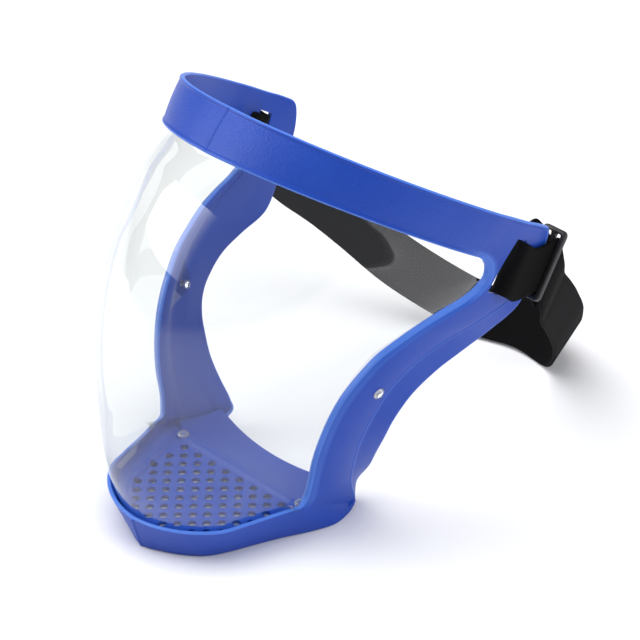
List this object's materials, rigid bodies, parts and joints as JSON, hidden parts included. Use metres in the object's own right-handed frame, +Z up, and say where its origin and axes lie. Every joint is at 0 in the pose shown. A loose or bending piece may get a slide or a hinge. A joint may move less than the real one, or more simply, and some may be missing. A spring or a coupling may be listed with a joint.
{
  "type": "full-face splash shield",
  "caption": "Clear curved full-face shield in a soft moulded frame with a perforated chin cup and an adjustable elastic head strap.",
  "frame": {"origin": "underside of the chin skirt at the front parting line, where the standing shield rests", "axes": "+Z up, -Y out of the front of the shield, +X towards the wearer's left"},
  "size_m": [0.1857, 0.2913, 0.2214],
  "materials": {
    "frame": "soft moulded PVC, satin, fine leather grain on the forehead band",
    "visor": "clear polycarbonate, polished",
    "rivet": "clear moulded push rivet",
    "strap": "black woven elastic webbing",
    "slider": "black moulded acetal, satin"
  },
  "bodies": {
    "shield": {"frame": "frame", "chin_tray": "frame", "visor": "visor", "rivet_left": "rivet", "rivet_right": "rivet", "chin_pin_left": "rivet", "chin_pin_right": "rivet", "strap_loop": "strap", "strap_end": "strap", "strap_stop": "strap"},
    "head_strap": {"strap": "strap"},
    "strap_slider": {"slider": "slider"}
  },
  "joints": [
    {"name": "strap_swing", "type": "hinge", "parent": "shield", "child": "head_strap", "pos_m": [0, 0.21104, 0.07441], "axis": [1, 0, 0], "range_deg": [0, 80]},
    {"name": "slider_slide", "type": "slide", "parent": "shield", "child": "strap_slider", "axis": [0, 0.3873, -0.922], "range_m": [0, 0.006]}
  ]
}
